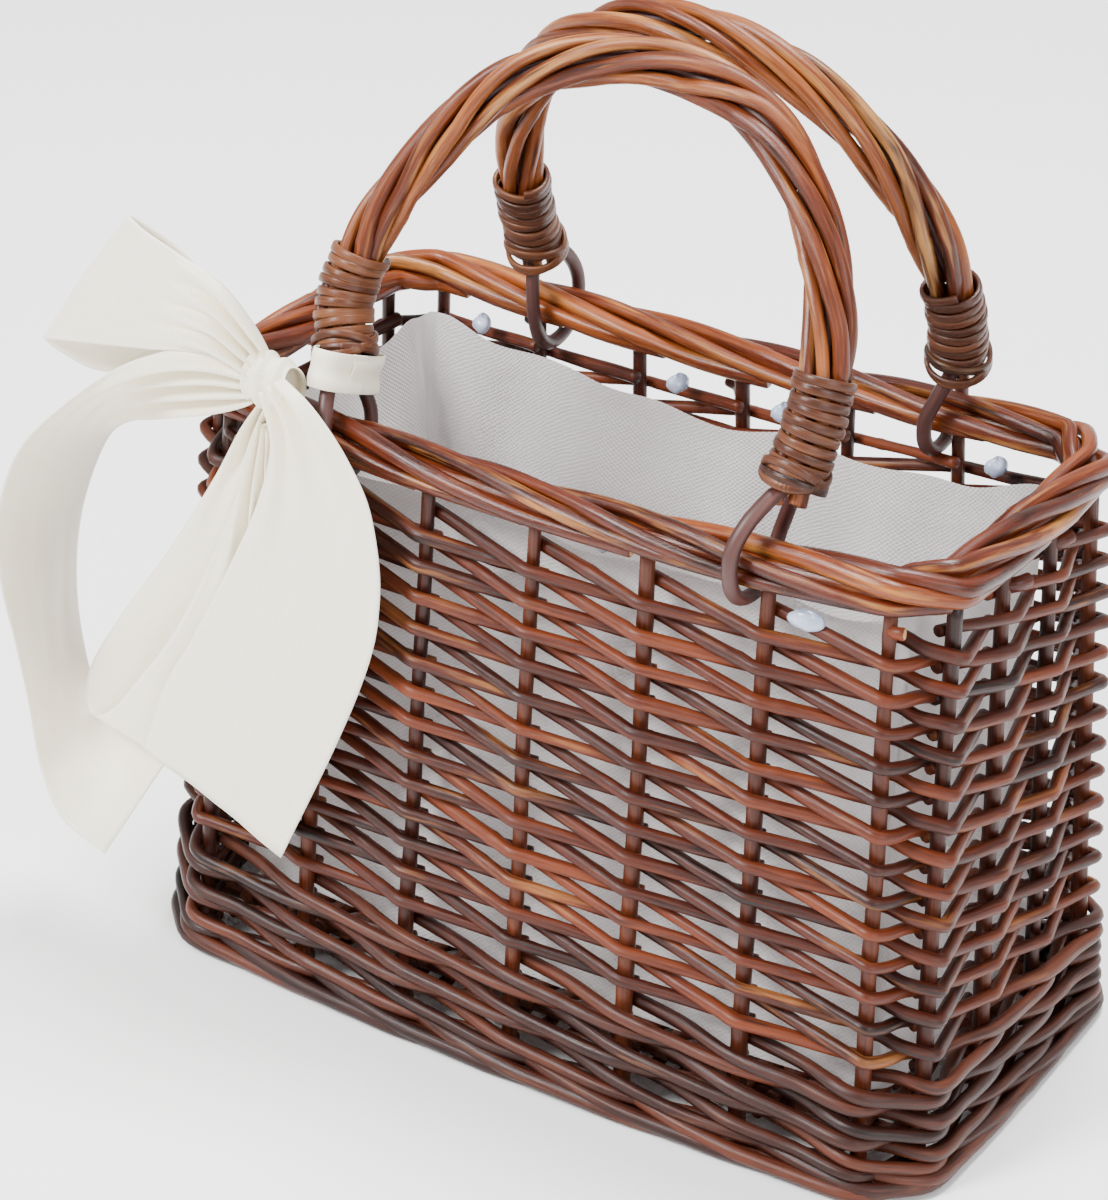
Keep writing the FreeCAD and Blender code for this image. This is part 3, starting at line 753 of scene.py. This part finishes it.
# ---------------------------------------------------------------- handles
class Handle:
    """Swing handle drawn in its own leaning plane: x, up the handle, out of the basket."""

    def __init__(self, name, side, lean, arch, body):
        self.name, self.side, self.body = name, side, body
        self.lean = math.radians(lean)
        self.line = curve([(x, up, 0.0) for x, up in arch], 1.5)
        gaps = np.linalg.norm(np.diff(self.line, axis=0), axis=1)
        self.length = np.concatenate([[0], np.cumsum(gaps)])
        tangent = unit(np.gradient(self.line, axis=0))
        # away from the middle of the arch
        self.edge = np.stack([-tangent[:, 1], tangent[:, 0], tangent[:, 2]], axis=1)

    def place(self, p):
        p = np.atleast_2d(p)
        y = p[:, 2] * math.cos(self.lean) - p[:, 1] * math.sin(self.lean)
        z = p[:, 1] * math.cos(self.lean) + p[:, 2] * math.sin(self.lean)
        return np.stack([p[:, 0], self.side * (RIM_HALF[1] + y), RIM_Z + z], axis=1)

    def at(self, distance):
        """Centre and outer-edge direction at a distance from the left foot of the arch."""
        centre, edge = (np.stack([np.interp(distance, self.length, values[:, k]) for k in range(3)], axis=-1)
                        for values in (self.line, self.edge))
        return centre, unit(edge)

    def ring(self, distance, angle, radius):
        centre, edge = self.at(distance)
        out = np.zeros_like(centre)
        out[..., 2] = 1.0
        across, outward_part = radius * np.cos(angle), radius * np.sin(angle)
        return centre + edge * across[..., None] + out * outward_part[..., None]

    def rods(self, twist_length, sizes):
        total = self.length[-1]
        for number, size in enumerate(sizes):
            rods = Rods()
            start = rng.uniform(-0.5, 1.5)
            distance = np.linspace(start, total - rng.uniform(-0.5, 1.5), 190)
            phase = 2 * math.pi * number / len(sizes) + rng.uniform(-0.08, 0.08)
            angle = phase - 2 * math.pi * distance / twist_length + steady(len(distance), 12, 0.12)
            near_end = np.minimum(distance, total - distance)
            loose = 1 + 0.10 * np.clip((near_end - 18) / 14, 0, 1)
            radius = (3.75 + steady(len(distance), 14, 0.22)) * loose
            path = self.place(self.ring(distance, angle, radius))
            thick_end, thin_end = (1.08, 0.9) if number % 2 else (0.9, 1.08)
            taper = np.linspace(thick_end, thin_end, len(distance))
            rods.add(path, size * taper, 12, ends=3)
            rods.build("%s_twisted_rod_%d" % (self.name, number + 1), self.body,
                       [handle_willow, pale_end], ["%s_rod_%d" % (self.name, number + 1)])
        stubs = Rods()                                    # butt ends that show below the bindings
        for foot in (0.0, total):
            for angle, low in ((0.6, 4.2), (2.2, 5.6), (4.4, 3.6), (5.5, 5.0)):
                inside = 1 if foot == 0.0 else -1
                distance = foot + inside * np.linspace(-low, 3.0, 9)
                centre, edge = self.at(np.clip(distance, 0, total))
                centre[:, 1] -= np.maximum(0, -distance) + np.maximum(0, distance - total)
                out = np.zeros_like(centre)
                out[:, 2] = 1.0
                path = centre + edge * 2.9 * math.cos(angle) + out * 2.9 * math.sin(angle)
                stubs.add(self.place(path), 1.5, 10, ends=3)
        stubs.build(self.name + "_rod_ends", self.body, [handle_willow, pale_end])

    def wire(self, feet):
        shape = ((23, 1.8), (17, 2.2), (12, 6.6), (6, 9.9), (0, 10.7), (-6, 9.0), (-9.9, 4.4),
                 (-10.6, -1.0), (-8.2, -6.6), (-3, -9.4), (4, -9.0), (10, -6.2), (16, -2.6), (22, -1.6))
        rods = Rods()
        for foot, end in ((feet[0], 0), (feet[1], -1)):
            top = self.line[end][0]
            keys = []
            for up, out in shape:
                share = np.clip((up - 2) / 15, 0, 1)
                keys.append((foot + (top - foot) * share, up, out))
            rods.add(self.place(curve(keys, 0.9)), 1.75, 14, lumps=0.01)
        distance = np.linspace(0.5, self.length[-1] - 0.5, 150)
        drift = 0.9 + steady(len(distance), 9, 0.5)
        core = self.ring(distance, 1.4 + steady(len(distance), 8, 0.5), np.clip(drift, 0, 1.6))
        rods.add(self.place(core), 1.75, 12, lumps=0.01)
        rods.build(self.name + "_core_wire", self.body, [wire_coat], [self.name + "_wire"])

    def binding(self, word, foot_distance, inward_sign, turns):
        """Flat cane wound round the leg, with two slanting turns at the bottom."""
        rods = Rods()
        pitch = 2.35
        steps = int(turns * 28)
        k = np.arange(steps) / 28
        angle = 2 * math.pi * k + 0.7
        distance = foot_distance + inward_sign * (1.4 + pitch * k + 0.25 * np.sin(angle * 0.5))
        radius = 6.35 + 0.22 * np.sin(angle * 1.7) + 0.2 * np.cos(3 * angle + 1)
        self.cane(rods, distance, angle, radius, 2.25)
        for tilt, lift, phase in ((2.6, 1.2, 0.4), (-2.6, 1.6, 1.2), (0.8, 0.0, 2.0)):
            angle = np.linspace(0, 2 * math.pi * 1.06, 46) + phase
            distance = foot_distance + inward_sign * (lift + tilt * np.cos(angle - 1.57))
            self.cane(rods, distance, angle, 7.15 + 0.25 * np.cos(2 * angle), 2.1)
        rods.build("%s_%s_cane" % (self.name, word), self.body, [cane, pale_end],
                   ["%s_%s_binding" % (self.name, word)])

    def cane(self, rods, distance, angle, radius, width):
        total = self.length[-1]
        inside = np.clip(distance, 0, total)
        path = self.ring(inside, angle, radius)
        path[:, 1] -= np.where(distance < 0, -distance, 0) + np.where(distance > total, distance - total, 0)
        centre, _ = self.at(inside)
        centre[:, 1] = np.where((distance < 0) | (distance > total), path[:, 1], centre[:, 1])
        world = self.place(path)
        rods.add(world, 1.0, 12, lean=world - self.place(centre), flat=(1.25, width))


FRONT_ARCH = ((-59.0, 17), (-62.2, 28), (-60.0, 42), (-51.2, 61), (-30.7, 86), (0.9, 96.9), (31.9, 90.5),
              (51.9, 68.5), (59.0, 50), (60.2, 34), (58.6, 17))
BACK_ARCH = ((-55.2, 17), (-55.2, 33), (-53.0, 50), (-47.2, 67.5), (-28.0, 90.2), (4.0, 100.4),
             (32.7, 90.3), (52.5, 66.8), (59.5, 47), (61.2, 32), (59.8, 17))
front = Handle("front_handle", -1, 22.4, FRONT_ARCH, "front_handle")
back = Handle("back_handle", 1, 21.6, BACK_ARCH, "back_handle")
for handle, feet in ((front, (-53.5, 53.5)), (back, (-53.5, 53.5))):
    handle.rods(125.0, (1.75, 2.05, 1.65, 1.95, 1.8, 1.6))
    handle.wire(feet)
    handle.binding("left", 0.0, 1, 9.6)
    handle.binding("right", handle.length[-1], -1, 9.8)


def ribbon(name, body, stations, replaces, pleats=3.0, crown=0.8, rows_per=9):
    """Ribbon between two edge lines. A station is (left point, right point, gather depth)."""
    left = np.array([s[0] for s in stations], float)
    right = np.array([s[1] for s in stations], float)
    gather = np.array([s[2] for s in stations], float)
    t = np.linspace(0, len(stations) - 1, rows_per * (len(stations) - 1) + 1)

    def along(values):
        keys = np.asarray(values, float).reshape(len(stations), -1)
        slope = np.gradient(keys, axis=0)
        low = np.clip(np.floor(t).astype(int), 0, len(stations) - 2)
        f = (t - low)[:, None]
        return ((2 * f ** 3 - 3 * f ** 2 + 1) * keys[low] + (f ** 3 - 2 * f ** 2 + f) * slope[low]
                + (3 * f ** 2 - 2 * f ** 3) * keys[low + 1] + (f ** 3 - f ** 2) * slope[low + 1])

    a, b, g = along(left), along(right), along(gather)[:, 0]
    columns = 33
    v = np.linspace(0, 1, columns)
    centre = (a + b) / 2
    forward = unit(np.gradient(centre, axis=0))
    normal = unit(np.cross(forward, b - a))
    width = np.linalg.norm(b - a, axis=1)
    length = np.concatenate([[0], np.cumsum(np.linalg.norm(np.diff(centre, axis=0), axis=1))])
    phase = rng.uniform(0, 6.3)
    pleat = np.cos(2 * math.pi * pleats * v[None, :] + 0.6 * np.sin(length[:, None] / 14) + phase)
    bulge = np.sin(math.pi * v)[None, :] * np.sin(length / 17 + phase)[:, None]
    ripple = np.sin(length / 6.3 + 1.0)[:, None] * np.cos(5 * v + 1)[None, :]
    lift = g[:, None] * pleat + crown * bulge + 0.25 * ripple
    grid = a[:, None, :] * (1 - v)[None, :, None] + b[:, None, :] * v[None, :, None]
    grid = grid + normal[:, None, :] * lift[..., None]
    n = len(t)
    place = np.stack([np.broadcast_to(length[:, None], (n, columns)),
                      (v[None, :] - 0.5) * np.maximum(width[:, None], 30),
                      np.broadcast_to(np.abs(2 * v - 1)[None, :] / MM, (n, columns))], axis=-1)
    ids = np.arange(n * columns).reshape(n, columns)
    faces = np.stack([ids[:-1, :-1], ids[:-1, 1:], ids[1:, 1:], ids[1:, :-1]], axis=-1)
    faces = faces.reshape(-1, 4).tolist()
    obj = make_object(name, grid.reshape(-1, 3), faces, body, [satin], replaces, None,
                      {"lc": place.reshape(-1, 3) * MM})
    shell = obj.modifiers.new("cloth", "SOLIDIFY")
    shell.thickness = 0.00035
    shell.offset = 0.0
    return obj


ribbon("bow_upper_loop", "bow", (
    ((-67, -54, 165.5), (-69, -56, 160.5), 2.2),
    ((-71, -56, 174), (-75, -59.5, 165), 2.6),
    ((-79, -58, 184), (-84, -62, 167.5), 1.6),
    ((-90, -59, 189.5), (-98, -63, 165.5), 0.5),
    ((-100, -58, 192.5), (-116, -61.5, 162), 0.1),
    ((-105.5, -56.5, 194), (-130, -59, 158.5), 0.1),
    ((-107.5, -54.5, 193.5), (-134, -55.5, 156.5), 0.0),
    ((-105, -52.8, 192), (-132, -52.3, 152.5), 0.1),
    ((-97, -51.6, 188), (-121, -50.9, 149.5), 0.1),
    ((-86, -51.6, 181), (-102, -51.4, 155), 0.5),
    ((-75, -52.4, 171), (-83, -52.8, 161), 1.4),
    ((-69, -53.5, 165), (-71, -54.5, 160), 1.6),
), ["ribbon_upper_loop"], pleats=4.0)
ribbon("bow_lower_loop", "bow", (
    ((-69, -57, 158), (-64, -56, 157), 2.0),
    ((-74, -57.2, 150), (-62, -56.3, 147), 2.3),
    ((-83, -57.4, 134), (-60, -56.3, 125), 0.8),
    ((-96, -57.6, 113), (-62, -56.6, 100), 0.1),
    ((-111, -58, 91), (-73, -57.2, 76), 0.0),
    ((-120.5, -58.8, 75), (-82, -58.2, 61), 0.1),
    ((-122.5, -60.4, 66), (-85.5, -59.4, 54.5), 0.0),
    ((-119, -62.2, 61.5), (-84, -60.8, 53), 0.0),
    ((-112, -63.2, 65.5), (-78, -61.2, 57.5), 0.1),
    ((-103, -63.8, 77), (-68, -61.3, 67), 0.05),
    ((-93, -63.8, 91), (-59, -61.3, 80), 0.1),
    ((-85, -63.4, 106), (-56, -61.0, 96), 0.2),
    ((-79, -62.6, 120), (-57, -60.4, 112), 1.0),
    ((-74, -61.0, 136), (-60, -59.2, 131), 2.2),
    ((-69, -58.6, 153), (-64, -58.0, 152), 2.0),
), ["ribbon_lower_loop"], pleats=4.0)
ribbon("bow_left_tail", "bow", (
    ((-69, -57, 165), (-71, -57, 157), 2.4),
    ((-84, -62, 167), (-84, -57, 150), 2.7),
    ((-99, -66, 162), (-99, -54, 143.5), 1.8),
    ((-112.5, -73, 152), (-112.5, -49, 138), 0.7),
    ((-123, -79, 139.5), (-125, -44, 128), 0.1),
    ((-129, -81.5, 122), (-135, -42.5, 108), 0.1),
    ((-130, -80.5, 104), (-138, -42.5, 89), 0.1),
    ((-129, -78, 86), (-137.5, -43, 70), 0.1),
    ((-129, -74, 67), (-132, -44, 57), 0.1),
    ((-128, -72, 47), (-118, -47, 60), 0.1),
    ((-122, -72, 35), (-106, -50, 58), 0.1),
    ((-109, -72, 29.5), (-99, -55, 55), 0.0),
), ["ribbon_left_tail"], crown=1.6, pleats=4.0)
ribbon("bow_front_tail", "bow", (
    ((-67.5, -60, 161), (-62, -59, 166), 1.5),
    ((-63.5, -62.5, 150), (-53, -60, 161), 1.4),
    ((-66, -64.4, 135), (-43, -60.4, 150.5), 0.7),
    ((-73, -65.4, 118), (-36, -60.6, 138), 0.25),
    ((-83.5, -65.8, 97), (-34, -60.8, 118), 0.05),
    ((-93.5, -65.8, 79), (-39, -62, 93), 0.05),
    ((-101, -65.4, 59), (-61, -63.6, 41), 0.1),
), ["ribbon_front_tail"], crown=1.3, rows_per=16)

knot_rows = []
for k in range(17):
    angle = 2 * math.pi * k / 15 + 0.5
    half = 5.6 - 0.9 * math.sin(angle) ** 2
    y, z = -55.6 - 4.9 * math.cos(angle), 162.3 + 6.4 * math.sin(angle)
    knot_rows.append(((-66.8 - half, y, z + 0.8), (-66.8 + half, y + 0.6, z - 1.0), 0.55))
ribbon("bow_knot", "bow", knot_rows, ["ribbon_knot"],
       pleats=2.4, crown=0.0, rows_per=5)

band_rows = []
for k in range(33):
    angle = 2 * math.pi * k / 30
    x = -57.0 + 5.1 * math.copysign(abs(math.cos(angle)) ** 0.8, math.cos(angle))
    out = 1.2 + 11.9 * math.copysign(abs(math.sin(angle)) ** 0.9, math.sin(angle))
    low, high = front.place((x, 8.6, out))[0], front.place((x, 17.6, out))[0]
    band_rows.append((high, low, 0.18))
ribbon("leg_band", "front_handle", band_rows, ["ribbon_band"],
       pleats=1.5, crown=0.0, rows_per=4)


# ---------------------------------------------------------------- camera, floor and light
def camera():
    azimuth, elevation, roll = math.radians(31.87), math.radians(28.4), math.radians(-1.17)
    target = Vector((-0.0274, 0, 0.0922))
    back_axis = Vector((math.sin(azimuth) * math.cos(elevation), -math.cos(azimuth) * math.cos(elevation),
                        math.sin(elevation)))
    right = (-back_axis).cross(Vector((0, 0, 1))).normalized()
    down = (-back_axis).cross(right)
    x_axis = right * math.cos(roll) + down * math.sin(roll)
    y_axis = right * math.sin(roll) - down * math.cos(roll)
    data = bpy.data.cameras.new("camera")
    data.lens = 3658 * 36 / 1200
    data.sensor_width = 36
    data.shift_x, data.shift_y = 9.8 / 1200, 4.6 / 1200
    obj = bpy.data.objects.new("camera", data)
    bpy.context.scene.collection.objects.link(obj)
    matrix = Matrix((x_axis, y_axis, back_axis)).transposed().to_4x4()
    matrix.translation = target + back_axis * 0.8898
    obj.matrix_world = matrix
    bpy.context.scene.camera = obj


def floor():
    n = Nodes("studio_floor")
    place = n.add("ShaderNodeTexCoord").outputs["Object"]
    n.colour(n.ramp(n.noise(n.scaled(place, (3, 3, 3))), [(0.3, rgb("#fdfdfd")), (0.7, rgb("#ffffff"))]))
    n.set(Roughness=0.9)
    mesh = bpy.data.meshes.new("studio_floor")
    mesh.from_pydata([(-4, -4, 0), (4, -4, 0), (4, 4, 0), (-4, 4, 0)], [], [(0, 1, 2, 3)])
    mesh.materials.append(n.material)
    obj = bpy.data.objects.new("studio_floor", mesh)
    bpy.context.scene.collection.objects.link(obj)


def area_light(name, place, size, power, aim=(0, 0, 0.1)):
    data = bpy.data.lights.new(name, "AREA")
    data.shape = "DISK"
    data.size = size
    data.energy = power
    obj = bpy.data.objects.new(name, data)
    bpy.context.scene.collection.objects.link(obj)
    obj.location = place
    obj.rotation_euler = (Vector(aim) - Vector(place)).to_track_quat("-Z", "Y").to_euler()


camera()
floor()
world = bpy.data.worlds.new("studio")
world.use_nodes = True
world.node_tree.nodes["Background"].inputs[0].default_value = (1.0, 1.0, 1.0, 1.0)
world.node_tree.nodes["Background"].inputs[1].default_value = 0.95
bpy.context.scene.world = world
area_light("key", (-0.6, -1.1, 1.3), 0.6, 52)
area_light("fill", (1.3, -0.6, 0.8), 0.8, 12)
area_light("top", (0.1, 0.4, 1.6), 0.6, 44)
